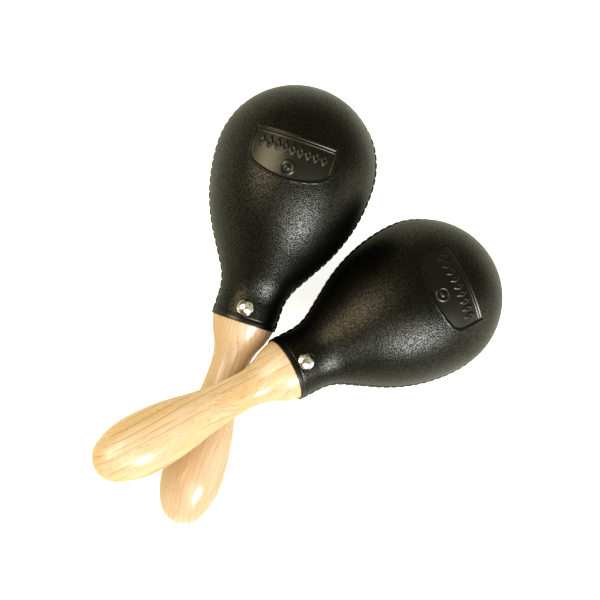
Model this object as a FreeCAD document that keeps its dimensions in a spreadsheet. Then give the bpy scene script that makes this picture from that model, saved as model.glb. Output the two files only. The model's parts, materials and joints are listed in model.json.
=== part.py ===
import FreeCAD, Part
import math
import os
import Sketcher
from FreeCAD import Placement, Rotation, Vector

# A pair of maracas lying crossed on a table. The left one lies on the table on its head and
# on the belly of its handle. The right one lies across it, with its head on the table and its
# handle on the handle below.
#
# Each maraca is drawn in its own frame: +Z runs along its axis towards the head, z = 0 is the
# edge of the shell's neck, +Y is its front and the seam between the half shells lies in y = 0.
# The pair's frame is +Z up from the table, with +Y along the pair, from the butts to the heads.

# The driving dimensions, in millimetres and degrees.
SIZES = [
    ("crown_radius", 47.0, "radius of the round crown and of the head at its widest"),
    ("equator_height", 96.2, "from the neck's edge to the widest place of the head"),
    ("side_radius", 100.0, "radius of the curve from the widest place down to the cone"),
    ("cone_angle", 31.0, "lean of the straight cone between the head and the neck"),
    ("neck_radius", 18.7, "outside radius of the neck"),
    ("neck_blend", 30.0, "radius of the hollow curve from the neck to the cone"),
    ("wall", 2.2, "thickness of the shell"),
    ("lip_width", 2.6, "height of the smooth band at the neck's edge"),
    ("lip_proud", 0.65, "how far the band stands out from the neck"),
    ("lip_round", 0.4, "radius of the band's two edges"),
    ("lip_root", 1.0, "how deep the band starts inside the wall"),
    ("welt_proud", 0.7, "how far the seam's welt stands out"),
    ("welt_root", 0.6, "how deep the welt starts inside the wall"),
    ("welt_thickness", 0.9, "half the width of the welt"),
    ("tongue_thickness", 0.9, "thickness of the tongue along the seam"),
    ("tongue_depth", 1.2, "how far the tongue stands into the rear shell"),
    ("tongue_gap", 0.1, "clearance round the tongue"),
    ("panel_top", 108.5, "height of the sunk panel's top edge"),
    ("panel_bottom", 84.4, "height of the panel's lowest place"),
    ("panel_half_width", 23.4, "half the width of the panel"),
    ("panel_corner", 8.0, "radius of the panel's lower corners"),
    ("panel_bow", 47.0, "radius of the panel's lower edge"),
    ("panel_depth", 0.6, "how deep the panel is sunk"),
    ("tack_height", 8.6, "from the neck's edge to the tacks"),
    ("tack_seat", 0.4, "depth of the flat that a tack's head sits on"),
    ("tack_head_radius", 4.8, "radius of the domed head"),
    ("tack_head_height", 2.4, "height of the domed head"),
    ("tack_rim", 0.3, "thickness of the head at its edge"),
    ("tack_shank_radius", 1.1, "radius of the shank"),
    ("tack_length", 12.0, "length of the shank"),
    ("tack_point", 2.5, "length of the shank's point"),
    ("tack_clearance", 0.02, "clearance round the shank and the head"),
    ("handle_length", 123.1, "from the butt to the neck's edge"),
    ("nose_radius", 14.0, "radius of the round butt"),
    ("belly_radius", 17.8, "radius of the handle at its thickest"),
    ("belly_place", 29.5, "from the butt to the thickest place"),
    ("belly_front", 150.0, "radius of the swell ahead of the thickest place"),
    ("waist_radius", 10.65, "radius of the handle at its thinnest"),
    ("waist_place", 96.0, "from the butt to the thinnest place"),
    ("flare_radius", 33.0, "radius of the hollow curve ahead of the waist"),
    ("shoulder_bulge", 48.0, "radius of the swell up to the neck's edge"),
    ("shoulder_radius", 18.4, "radius of the handle at the neck's edge"),
    ("tenon_clearance", 0.05, "clearance between the tenon and the neck"),
    ("tenon_length", 17.0, "how far the tenon stands into the neck"),
    ("tenon_chamfer", 1.5, "chamfer of the tenon's end"),
    ("shot_radius", 2.25, "radius of one ball of shot"),
    ("shot_gap", 0.15, "clearance between the shot and the shell"),
    ("shot_pitch", 4.8, "distance between neighbouring balls"),
    ("layer_gap", 0.2, "clearance between the two layers of shot"),
    ("rolling_rings", 3, "rings of balls round the middle one in the lower layer"),
    ("thrown_rings", 2, "rings of balls round the middle one in the upper layer"),
    ("half_angle", 23.26, "half the angle between the two maracas, seen from above"),
    ("left_roll", 17.5, "turn of the left maraca about its own axis"),
    ("right_roll", 1.6, "turn of the right maraca about its own axis"),
    ("left_crossing", 48.1, "from the left neck's edge down to the crossing"),
    ("right_crossing", 38.6, "from the right neck's edge down to the crossing"),
    ("crossing_rise", 23.1, "height between the two axes where they cross"),
]

doc = FreeCAD.newDocument("Maracas")
sheet = doc.addObject("Spreadsheet::Sheet", "Sizes")
for row, (alias, value, remark) in enumerate(SIZES, start=1):
    sheet.set(f"A{row}", remark)
    sheet.set(f"B{row}", str(value))
    sheet.setAlias(f"B{row}", alias)
doc.recompute()


class Size:
    """A number together with the sheet expression that it comes from."""

    def __init__(self, value, text):
        self.value = value
        self.text = text

    def __add__(self, other):
        return Size(self.value + other.value, f"({self.text} + {other.text})")

    def __sub__(self, other):
        return Size(self.value - other.value, f"({self.text} - {other.text})")


def cell(alias):
    """The Size of one cell of the sheet."""
    return Size(float(getattr(sheet, alias)), f"Sizes.{alias}")


NOTHING = Size(0.0, "0")

# The sketcher's own numbers for the points of a curve, and for the axes and their origin.
START, END, CENTRE = 1, 2, 3
X_AXIS, Y_AXIS = -1, -2
ORIGIN = (X_AXIS, START)

# Neighbouring rows of closely packed balls lean by this angle.
ROW_ANGLE = math.radians(60)


def origin_plane(body, role):
    """One of the three planes through the body's own origin."""
    return next(f for f in body.Origin.OriginFeatures if f.Role == role)


def new_sketch(body, name, offset=NOTHING):
    """A sketch on the body's seam plane, with x across and y along the axis. An offset moves the
    sketch forwards, towards the front."""
    sketch = body.newObject("Sketcher::SketchObject", name)
    sketch.AttachmentSupport = [(origin_plane(body, "XZ_Plane"), "")]
    sketch.MapMode = "FlatFace"
    if offset is not NOTHING:
        # the plane's own normal points to the rear
        sketch.setExpression("AttachmentOffset.Base.z", f"0 - {offset.text}")
    return sketch


class Outline:
    """A closed chain of lines and arcs in a sketch. A piece that is smooth leaves the one before
    it without a corner."""

    def __init__(self, sketch, x, y):
        self.sketch = sketch
        self.first = Vector(x, y, 0)
        self.point = self.first
        self.ends = []

    def add(self, geometry, ends, smooth):
        number = self.sketch.addGeometry(geometry, False)
        self.ends.append(ends)
        if number:
            kind = "Tangent" if smooth else "Coincident"
            self.join(kind, number - 1, number)
        return number

    def join(self, kind, before, after):
        where = (before, self.ends[before][1], after, self.ends[after][0])
        self.sketch.addConstraint(Sketcher.Constraint(kind, *where))

    def line(self, x, y, smooth=False):
        end = Vector(x, y, 0)
        number = self.add(Part.LineSegment(self.point, end), (START, END), smooth)
        self.point = end
        return number

    def arc(self, centre, x, y, clockwise=False, smooth=True):
        middle, end = Vector(*centre, 0), Vector(x, y, 0)
        a, b = (end, self.point) if clockwise else (self.point, end)
        angles = [math.atan2(p.y - middle.y, p.x - middle.x) for p in (a, b)]
        circle = Part.Circle(middle, Vector(0, 0, 1), (end - middle).Length)
        ends = (END, START) if clockwise else (START, END)
        number = self.add(Part.ArcOfCircle(circle, *angles), ends, smooth)
        self.point = end
        return number

    def close(self):
        number = self.line(self.first.x, self.first.y)
        self.join("Coincident", number, 0)
        return number

    def start(self, number):
        return number, self.ends[number][0]

    def end(self, number):
        return number, self.ends[number][1]

    def rule(self, kind, *where):
        self.sketch.addConstraint(Sketcher.Constraint(kind, *where))

    def measure(self, kind, where, size, unit=""):
        """A dimension that is bound to the sheet."""
        value = math.radians(size.value) if unit else size.value
        number = self.sketch.addConstraint(Sketcher.Constraint(kind, *where, value))
        self.sketch.setExpression(f"Constraints[{number}]", size.text + unit)


def shell_strip(sketch, inside, outside):
    """The closed section between two curves that run parallel to the shell's outer skin, from the
    neck's edge to the tip. Both distances are counted outwards from the skin."""
    crown, side = cell("crown_radius"), cell("side_radius")
    neck, blend = cell("neck_radius"), cell("neck_blend")
    equator, lean = cell("equator_height"), cell("cone_angle")
    turn = math.radians(lean.value)
    across, down = math.cos(turn), -math.sin(turn)
    side_centre = (crown.value - side.value, equator.value)
    skin_x = side_centre[0] + side.value * across
    skin_y = side_centre[1] + side.value * down
    foot_x = neck.value + blend.value * (1 - across)
    foot_y = skin_y - (skin_x - foot_x) / math.tan(turn)
    blend_centre = (neck.value + blend.value, foot_y + blend.value * down)

    def corners(offset):
        """Where the cone meets the neck's blend and where it meets the side, on one curve."""
        low = (foot_x + offset.value * across, foot_y + offset.value * down)
        high = (skin_x + offset.value * across, skin_y + offset.value * down)
        return low, high

    low, high = corners(outside)
    line = Outline(sketch, neck.value + outside.value, 0)
    out_neck = line.line(line.first.x, blend_centre[1])
    out_blend = line.arc(blend_centre, *low, clockwise=True)
    out_cone = line.line(*high, smooth=True)
    out_side = line.arc(side_centre, crown.value + outside.value, equator.value)
    tip = equator.value + crown.value
    out_crown = line.arc((0, equator.value), 0, tip + outside.value)
    line.line(0, tip + inside.value)
    low, high = corners(inside)
    in_crown = line.arc(
        (0, equator.value), crown.value + inside.value, equator.value, clockwise=True, smooth=False
    )
    in_side = line.arc(side_centre, *high, clockwise=True)
    in_cone = line.line(*low, smooth=True)
    in_blend = line.arc(blend_centre, neck.value + inside.value, blend_centre[1])
    in_neck = line.line(neck.value + inside.value, 0, smooth=True)
    line.close()

    # the two curves are held in the same way, each by its own sizes
    line.rule("Parallel", in_cone, out_cone)
    line.rule("Coincident", in_crown, CENTRE, out_crown, CENTRE)
    line.rule("PointOnObject", out_crown, CENTRE, Y_AXIS)
    line.measure("DistanceY", (*ORIGIN, out_crown, CENTRE), equator)
    line.measure("Angle", (out_cone,), Size(90, "90") - lean, " * 1 deg")
    curves = [
        (outside, out_blend, out_side, line.start(out_crown), line.end(out_crown)),
        (inside, in_blend, in_side, line.end(in_crown), line.start(in_crown)),
    ]
    for offset, blend_arc, side_arc, level, top in curves:
        line.rule("PointOnObject", *top, Y_AXIS)
        line.rule("Horizontal", *level, level[0], CENTRE)
        line.measure("Radius", (blend_arc,), blend - offset)
        line.measure("Radius", (side_arc,), side + offset)
        line.measure("Radius", (level[0],), crown + offset)
    feet = [(outside, out_neck, line.start(out_neck)), (inside, in_neck, line.end(in_neck))]
    for offset, neck_line, foot in feet:
        line.rule("Vertical", neck_line)
        line.rule("PointOnObject", *foot, X_AXIS)
        line.measure("DistanceX", (*ORIGIN, *foot), neck + offset)


def lip_section(sketch):
    """The section of the smooth band at the neck's edge."""
    neck, root, edge = cell("neck_radius"), cell("lip_root"), cell("lip_round")
    width, proud = cell("lip_width"), cell("lip_proud")
    inner = neck.value - root.value
    outer = neck.value + proud.value
    bend = edge.value
    line = Outline(sketch, inner, 0)
    bottom = line.line(outer - bend, 0)
    low = line.arc((outer - bend, bend), outer, bend)
    face = line.line(outer, width.value - bend, smooth=True)
    high = line.arc((outer - bend, width.value - bend), outer - bend, width.value)
    top = line.line(inner, width.value, smooth=True)
    line.close()
    line.rule("Horizontal", bottom)
    line.rule("Vertical", face)
    line.rule("Horizontal", top)
    line.rule("Vertical", *line.start(bottom), *line.end(top))
    line.rule("PointOnObject", *line.start(bottom), X_AXIS)
    line.rule("Equal", low, high)
    line.measure("Radius", (low,), edge)
    line.measure("DistanceX", (*ORIGIN, *line.start(bottom)), neck - root)
    line.measure("DistanceX", (*ORIGIN, *line.start(face)), neck + proud)
    line.measure("DistanceY", (*ORIGIN, *line.end(top)), width)


def panel_outline(sketch):
    """The sunk panel seen from the front: a straight top and sides, and a bowed lower edge."""
    half, top = cell("panel_half_width"), cell("panel_top")
    bottom, corner, bow = cell("panel_bottom"), cell("panel_corner"), cell("panel_bow")
    inner_x = half.value - corner.value
    bow_y = bottom.value + bow.value
    corner_y = bow_y - math.sqrt((bow.value - corner.value) ** 2 - inner_x**2)
    reach = bow.value / (bow.value - corner.value)
    meet_x, meet_y = inner_x * reach, bow_y + (corner_y - bow_y) * reach
    line = Outline(sketch, -half.value, top.value)
    left = line.line(-half.value, corner_y)
    left_corner = line.arc((-inner_x, corner_y), -meet_x, meet_y)
    lower = line.arc((0, bow_y), meet_x, meet_y)
    right_corner = line.arc((inner_x, corner_y), half.value, corner_y)
    right = line.line(half.value, top.value, smooth=True)
    line.close()
    line.rule("Vertical", left)
    line.rule("Vertical", right)
    line.rule("Equal", left_corner, right_corner)
    line.rule("Symmetric", *line.end(right), *line.start(left), Y_AXIS)
    line.rule("PointOnObject", lower, CENTRE, Y_AXIS)
    line.measure("Radius", (left_corner,), corner)
    line.measure("Radius", (lower,), bow)
    line.measure("DistanceX", (*ORIGIN, *line.end(right)), half)
    line.measure("DistanceY", (*ORIGIN, *line.end(right)), top)
    line.measure("DistanceY", (*ORIGIN, lower, CENTRE), bottom + bow)


def handle_section(sketch):
    """Half the handle's outline, from the butt to the tenon's end."""
    length, nose = cell("handle_length"), cell("nose_radius")
    belly, belly_place = cell("belly_radius"), cell("belly_place")
    swell, waist = cell("belly_front"), cell("waist_radius")
    waist_place, flare = cell("waist_place"), cell("flare_radius")
    bulge, shoulder = cell("shoulder_bulge"), cell("shoulder_radius")
    tenon = cell("neck_radius") - cell("wall") - cell("tenon_clearance")
    tenon_length, chamfer = cell("tenon_length"), cell("tenon_chamfer")
    butt = -length.value
    nose_centre = (0, butt + nose.value)
    belly_y = butt + belly_place.value
    waist_y = butt + waist_place.value

    # the curve behind the thickest place touches the round butt
    rise = belly_place.value - nose.value
    spare = belly.value - nose.value
    rear = (rise**2 + belly.value**2 - nose.value**2) / (2 * spare)
    rear_centre = (belly.value - rear, belly_y)
    nose_end = along(rear_centre, nose_centre, rear)
    # the swell ahead of it and the waist's hollow touch each other
    drop = belly.value - waist.value
    reach = ((waist_place.value - belly_place.value) ** 2 + drop**2) / (2 * drop)
    swell_centre = (belly.value - swell.value, belly_y)
    hollow_centre = (waist.value + reach - swell.value, waist_y)
    swell_end = along(swell_centre, hollow_centre, swell.value)
    # the flare and the shoulder's swell touch each other
    flare_centre = (waist.value + flare.value, waist_y)
    bulge_centre = circles_meet(
        flare_centre, flare.value + bulge.value, (shoulder.value, 0), bulge.value
    )
    flare_end = along(flare_centre, bulge_centre, flare.value)

    line = Outline(sketch, 0, butt)
    nose_arc = line.arc(nose_centre, *nose_end)
    rear_arc = line.arc(rear_centre, belly.value, belly_y)
    swell_arc = line.arc(swell_centre, *swell_end)
    hollow_arc = line.arc(hollow_centre, waist.value, waist_y, clockwise=True)
    flare_arc = line.arc(flare_centre, *flare_end, clockwise=True)
    bulge_arc = line.arc(bulge_centre, shoulder.value, 0)
    face = line.line(tenon.value, 0)
    side = line.line(tenon.value, tenon_length.value - chamfer.value)
    slope = line.line(tenon.value - chamfer.value, tenon_length.value)
    end = line.line(0, tenon_length.value)
    line.close()

    line.rule("PointOnObject", *line.start(nose_arc), Y_AXIS)
    line.rule("PointOnObject", nose_arc, CENTRE, Y_AXIS)
    line.rule("Horizontal", *line.end(rear_arc), rear_arc, CENTRE)
    line.rule("Horizontal", *line.end(hollow_arc), hollow_arc, CENTRE)
    line.rule("PointOnObject", *line.end(bulge_arc), X_AXIS)
    line.rule("Horizontal", face)
    line.rule("Vertical", side)
    line.rule("Horizontal", end)
    line.rule("PointOnObject", *line.end(end), Y_AXIS)
    line.measure("DistanceY", (*line.start(nose_arc), *ORIGIN), length)
    line.measure("Radius", (nose_arc,), nose)
    line.measure("DistanceX", (*ORIGIN, *line.end(rear_arc)), belly)
    line.measure("DistanceY", (*line.start(nose_arc), *line.end(rear_arc)), belly_place)
    line.measure("Radius", (swell_arc,), swell)
    line.measure("DistanceX", (*ORIGIN, *line.end(hollow_arc)), waist)
    line.measure("DistanceY", (*line.start(nose_arc), *line.end(hollow_arc)), waist_place)
    line.measure("Radius", (flare_arc,), flare)
    line.measure("Radius", (bulge_arc,), bulge)
    line.measure("DistanceX", (*ORIGIN, *line.end(bulge_arc)), shoulder)
    line.measure("DistanceX", (*ORIGIN, *line.start(side)), tenon)
    line.measure("DistanceY", (*ORIGIN, *line.end(slope)), tenon_length)
    line.measure("DistanceX", (*line.end(slope), *line.start(slope)), chamfer)
    line.measure("DistanceY", (*line.start(slope), *line.end(slope)), chamfer)


def along(start, target, distance):
    """The point at a distance from start on the line towards target."""
    share = distance / math.dist(start, target)
    return tuple(a + (b - a) * share for a, b in zip(start, target))


def circles_meet(first, first_radius, second, second_radius):
    """The crossing of two circles that lies nearer the axis."""
    gap = math.dist(first, second)
    reach = (gap**2 + first_radius**2 - second_radius**2) / (2 * gap)
    height = math.sqrt(first_radius**2 - reach**2)
    foot = along(first, second, reach)
    step = ((second[1] - first[1]) / gap, (first[0] - second[0]) / gap)
    both = [(foot[0] + sign * height * step[0], foot[1] + sign * height * step[1]) for sign in (1, -1)]
    return min(both)


def tack_section(sketch):
    """Half the tack's outline: a pointed shank below y = 0 and a domed head above it."""
    head, height, rim = cell("tack_head_radius"), cell("tack_head_height"), cell("tack_rim")
    shank, length, point = cell("tack_shank_radius"), cell("tack_length"), cell("tack_point")
    rise = height.value - rim.value
    dome = (head.value**2 + rise**2) / (2 * rise)
    line = Outline(sketch, 0, -length.value)
    tip = line.line(shank.value, point.value - length.value)
    side = line.line(shank.value, 0)
    face = line.line(head.value, 0)
    edge = line.line(head.value, rim.value)
    dome_arc = line.arc((0, height.value - dome), 0, height.value, smooth=False)
    line.close()
    line.rule("PointOnObject", *line.start(tip), Y_AXIS)
    line.rule("Vertical", side)
    line.rule("PointOnObject", *line.start(face), X_AXIS)
    line.rule("Horizontal", face)
    line.rule("Vertical", edge)
    line.rule("PointOnObject", dome_arc, CENTRE, Y_AXIS)
    line.rule("PointOnObject", *line.end(dome_arc), Y_AXIS)
    line.measure("DistanceY", (*line.start(tip), *ORIGIN), length)
    line.measure("DistanceY", (*line.start(tip), *line.end(tip)), point)
    line.measure("DistanceX", (*ORIGIN, *line.end(tip)), shank)
    line.measure("DistanceX", (*ORIGIN, *line.end(face)), head)
    line.measure("DistanceY", (*ORIGIN, *line.end(edge)), rim)
    line.measure("DistanceY", (*ORIGIN, *line.end(dome_arc)), height)


def circle_sketch(body, name, radius, offset=NOTHING):
    """A circle on the tacks' axis, on a plane that is parallel to the seam."""
    sketch = new_sketch(body, name, offset)
    height = cell("tack_height")
    outline = Outline(sketch, 0, height.value)
    ring = sketch.addGeometry(Part.Circle(outline.point, Vector(0, 0, 1), radius.value), False)
    outline.rule("PointOnObject", ring, CENTRE, Y_AXIS)
    outline.measure("DistanceY", (*ORIGIN, ring, CENTRE), height)
    outline.measure("Radius", (ring,), radius)
    return sketch


def turned(body, kind, name, sketch, angle, reverse=False):
    """A revolution of a section about the maraca's axis."""
    turn = body.newObject(f"PartDesign::{kind}", name)
    turn.Profile = sketch
    turn.ReferenceAxis = (sketch, ["V_Axis"])
    turn.Angle = angle
    turn.Reversed = reverse
    return turn


def straight(body, kind, name, sketch, length, forwards):
    """A Pad or Pocket square to the seam, forwards or to the rear."""
    feature = body.newObject(f"PartDesign::{kind}", name)
    feature.Profile = sketch
    feature.setExpression("Length", length.text)
    # a Pad follows its sketch's normal, to the rear, and a Pocket goes against it
    feature.Reversed = forwards if kind == "Pad" else not forwards
    return feature


def mirrored(body, name, features, plane):
    """Features copied to the other side of one of the body's planes."""
    mirror = body.newObject("PartDesign::Mirrored", name)
    mirror.Originals = features
    mirror.MirrorPlane = (origin_plane(body, plane), [""])
    body.Tip = mirror
    return mirror


def changed(body, grows, what):
    """Recomputes the body and stops if its last feature didn't add or remove material."""
    doc.recompute()
    before = body.Tip.BaseFeature.Shape.Volume
    after = body.Tip.Shape.Volume
    if (after - before if grows else before - after) <= 0:
        raise RuntimeError(f"{body.Label}: {what} changed nothing")


def half_shell(label, front):
    """One half of the shell: wall, lip, welt and the tack's hole and seat. The front half has a
    tongue along its seam and the rear half has the rebate that takes it."""
    body = doc.addObject("PartDesign::Body", label)
    wall, skin = NOTHING - cell("wall"), NOTHING

    sketch = new_sketch(body, "wall_section")
    shell_strip(sketch, wall, skin)
    turned(body, "Revolution", "wall_turn", sketch, 180, reverse=not front)
    sketch = new_sketch(body, "lip_section")
    lip_section(sketch)
    turned(body, "Revolution", "lip_turn", sketch, 180, reverse=not front)
    changed(body, True, "the lip")

    sketch = new_sketch(body, "welt_section")
    shell_strip(sketch, NOTHING - cell("welt_root"), cell("welt_proud"))
    welt = straight(body, "Pad", "welt", sketch, cell("welt_thickness"), forwards=front)
    mirrored(body, "both_welts", [welt], "YZ_Plane")
    changed(body, True, "the welt")

    sketch = new_sketch(body, "tongue_section")
    tongue_top = wall + cell("tongue_thickness")
    gap = cell("tongue_gap")
    if front:
        shell_strip(sketch, wall, tongue_top)
        tongue = straight(body, "Pad", "tongue", sketch, cell("tongue_depth"), forwards=False)
    else:
        shell_strip(sketch, wall - cell("wall"), tongue_top + gap)
        tongue = straight(
            body, "Pocket", "rebate", sketch, cell("tongue_depth") + gap, forwards=False
        )
    mirrored(body, "both_sides", [tongue], "YZ_Plane")
    changed(body, front, "the tongue or the rebate")

    seat = cell("neck_radius") - cell("tack_seat")
    clearance = cell("tack_clearance")
    sketch = circle_sketch(body, "tack_hole_circle", cell("tack_shank_radius") + clearance)
    straight(body, "Pocket", "tack_hole", sketch, cell("neck_radius"), forwards=front)
    changed(body, False, "the tack's hole")
    sketch = circle_sketch(
        body,
        "tack_seat_circle",
        cell("tack_head_radius") + clearance,
        seat if front else NOTHING - seat,
    )
    straight(body, "Pocket", "tack_seat", sketch, cell("neck_radius"), forwards=front)
    changed(body, False, "the tack's seat")
    return body


def front_shell(label):
    """The front half shell with its panel sunk evenly into the curved skin."""
    body = half_shell(f"{label}_whole", front=True)

    prism = doc.addObject("PartDesign::Body", f"{label}_panel_prism")
    sketch = new_sketch(prism, "panel_outline")
    panel_outline(sketch)
    straight(prism, "Pad", "panel_pad", sketch, cell("equator_height"), forwards=True)

    skin = doc.addObject("PartDesign::Body", f"{label}_panel_skin")
    sketch = new_sketch(skin, "skin_section")
    shell_strip(sketch, NOTHING - cell("panel_depth"), cell("welt_proud"))
    turned(skin, "Revolution", "skin_turn", sketch, 180)

    tool = doc.addObject("Part::MultiCommon", f"{label}_panel_tool")
    tool.Shapes = [prism, skin]
    cut = doc.addObject("Part::Cut", label)
    cut.Base = body
    cut.Tool = tool
    return cut


def handle(label):
    """The turned handle with its tenon and the pilot holes for the two tacks."""
    body = doc.addObject("PartDesign::Body", label)
    sketch = new_sketch(body, "handle_section")
    handle_section(sketch)
    turned(body, "Revolution", "handle_turn", sketch, 360)
    clearance = cell("tack_clearance")
    bottom = cell("neck_radius") - cell("tack_seat") - cell("tack_length") - clearance
    sketch = circle_sketch(
        body, "pilot_circle", cell("tack_shank_radius") + clearance, bottom
    )
    pilot = straight(body, "Pocket", "pilot_hole", sketch, cell("neck_radius"), forwards=True)
    mirrored(body, "both_pilot_holes", [pilot], "XZ_Plane")
    changed(body, False, "the pilot holes")
    return body


def tack(label):
    """A domed tack, upright on the underside of its head."""
    body = doc.addObject("PartDesign::Body", label)
    sketch = new_sketch(body, "tack_section")
    tack_section(sketch)
    turned(body, "Revolution", "tack_turn", sketch, 360)
    return body


def shot_places(tilt, depth, rings):
    """The centres of a hexagonal patch of balls that lies on the inside of the shell round its
    lowest place, for a maraca whose axis rises by tilt. Depth is how far the centres lie inside
    the skin. Here -Y is downwards."""
    crown, side = cell("crown_radius").value - depth, cell("side_radius").value - depth
    equator, pitch = cell("equator_height").value, cell("shot_pitch").value
    lowest = -tilt * (side if tilt > 0 else crown)
    places = []
    for row in range(-rings, rings + 1):
        travel = lowest + row * pitch * math.sin(ROW_ANGLE)
        if travel > 0:
            radius = crown * math.cos(travel / crown)
            height = equator + crown * math.sin(travel / crown)
        else:
            radius = crown - side + side * math.cos(travel / side)
            height = equator + side * math.sin(travel / side)
        count = 2 * rings + 1 - abs(row)
        for column in range(count):
            turn = (column - (count - 1) / 2) * pitch / radius
            across, down = radius * math.sin(turn), radius * math.cos(turn)
            places.append(Vector(across, -down, height))
    return places


def shot(label, tilt, depth, rings):
    """A layer of loose balls, each a solid of its own."""
    balls = []
    for number, place in enumerate(shot_places(tilt, depth, rings), start=1):
        ball = doc.addObject("Part::Sphere", f"{label}_ball_{number}")
        ball.setExpression("Radius", "Sizes.shot_radius")
        ball.Placement = Placement(place, Rotation())
        balls.append(ball)
    group = doc.addObject("Part::Compound", label)
    group.Links = balls
    return group


def left_tilt():
    """The rise of the left maraca's axis when the side of its head and the curve behind the belly
    of its handle both touch the table, in radians."""
    side, rear = cell("side_radius").value, rear_radius()
    out = (cell("crown_radius").value - side) - (cell("belly_radius").value - rear)
    apart = cell("equator_height").value + cell("handle_length").value - cell("belly_place").value
    return math.acos((rear - side) / math.hypot(out, apart)) - math.atan2(apart, out)


def rear_radius():
    """Radius of the handle's curve behind its thickest place."""
    nose, belly = cell("nose_radius").value, cell("belly_radius").value
    rise = cell("belly_place").value - nose
    return (rise**2 + belly**2 - nose**2) / (2 * (belly - nose))


def poses():
    """Where each maraca lies: the middle of its neck's edge, its axis and its tilt."""
    crown, side = cell("crown_radius").value, cell("side_radius").value
    equator = cell("equator_height").value
    tilt = left_tilt()
    left_height = side + (crown - side) * math.cos(tilt) - equator * math.sin(tilt)
    crossing = left_height - cell("left_crossing").value * math.sin(tilt)
    crossing += cell("crossing_rise").value
    reach = equator + cell("right_crossing").value
    right_tilt = math.asin((crown - crossing) / reach)

    right_height = crown - equator * math.sin(right_tilt)

    half = math.radians(cell("half_angle").value)
    lying = {}
    for name, turn, rise, height in (
        ("left", half, tilt, left_height),
        ("right", -half, right_tilt, right_height),
    ):
        below = cell(f"{name}_crossing").value
        level = Vector(-math.sin(turn), math.cos(turn), 0)
        axis = level * math.cos(rise) + Vector(0, 0, math.sin(rise))
        # both axes pass over the same point of the table, where the maracas cross
        neck = level * (below * math.cos(rise)) + Vector(0, 0, height)
        lying[name] = (neck, axis, rise)
    return lying


def centred(lying):
    """The same poses, moved so that the origin lies under the middle of the pair."""
    crown, nose = cell("crown_radius").value, cell("nose_radius").value
    heads = [neck + axis * cell("equator_height").value for neck, axis, _ in lying.values()]
    back = nose - cell("handle_length").value
    butts = [neck + axis * back for neck, axis, _ in lying.values()]
    right_edge = max(p.x for p in heads) + crown
    left_edge = min(p.x for p in heads) - crown
    far_edge = max(p.y for p in heads) + crown
    near_edge = min(p.y for p in butts) - nose
    shift = Vector((left_edge + right_edge) / 2, (near_edge + far_edge) / 2, 0)
    return {name: (neck - shift, axis, rise) for name, (neck, axis, rise) in lying.items()}


def lie(neck, axis, roll):
    """The Placement of a maraca whose front looks up, turned towards its +X side by roll degrees."""
    up = Vector(0, 0, 1)
    front = (up - axis * axis.dot(up)).normalize()
    side = front.cross(axis)
    level = Placement(neck, Rotation(side, front, axis, "ZXY"))
    return level * Placement(Vector(), Rotation(Vector(0, 0, 1), -roll))


def put(part, place, nodes):
    """Places a finished sub-part and lists it."""
    part.Placement = place
    nodes.append(part)


def maraca(name, neck, axis, tilt, nodes):
    """All the pieces of one maraca, in place."""
    lying = lie(neck, axis, cell(f"{name}_roll").value)
    put(front_shell(f"{name}_front_shell"), lying, nodes)
    put(half_shell(f"{name}_rear_shell", front=False), lying, nodes)
    put(handle(f"{name}_handle"), lying, nodes)

    seat = cell("neck_radius").value - cell("tack_seat").value
    height = cell("tack_height").value
    for face, forwards in (("front", 1), ("rear", -1)):
        square = Rotation(Vector(1, 0, 0), -90 * forwards)
        stand = Placement(Vector(0, seat * forwards, height), square)
        put(tack(f"{name}_{face}_tack"), lying * stand, nodes)

    level = lie(neck, axis, 0)
    ball = cell("shot_radius").value
    depth = cell("wall").value + cell("shot_gap").value + ball
    rings = int(cell("rolling_rings").value)
    put(shot(f"{name}_rolling_shot", tilt, depth, rings), level, nodes)
    depth += 2 * ball + cell("layer_gap").value
    rings = int(cell("thrown_rings").value)
    put(shot(f"{name}_thrown_shot", tilt, depth, rings), level, nodes)


def check(nodes):
    """Stops if anything in the document failed or a sub-part isn't a valid solid."""
    for thing in doc.Objects:
        if "Invalid" in thing.State or "Error" in thing.State:
            raise RuntimeError(f"{thing.Name} failed: {thing.State}")
        if thing.TypeId == "Sketcher::SketchObject" and thing.solve() != 0:
            raise RuntimeError(f"{thing.Name} doesn't solve")
    for node in nodes:
        if node.Shape.isNull() or not node.Shape.isValid() or not node.Shape.Solids:
            raise RuntimeError(f"{node.Label} isn't a valid solid")


nodes = []
for name, (neck, axis, tilt) in centred(poses()).items():
    maraca(name, neck, axis, tilt, nodes)
doc.recompute()
check(nodes)
os.makedirs("parts", exist_ok=True)
for node in nodes:
    node.Shape.exportStep(f"parts/{node.Label}.step")
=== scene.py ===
import json
import math

import bpy
import numpy as np
from mathutils import Matrix, Vector

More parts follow.
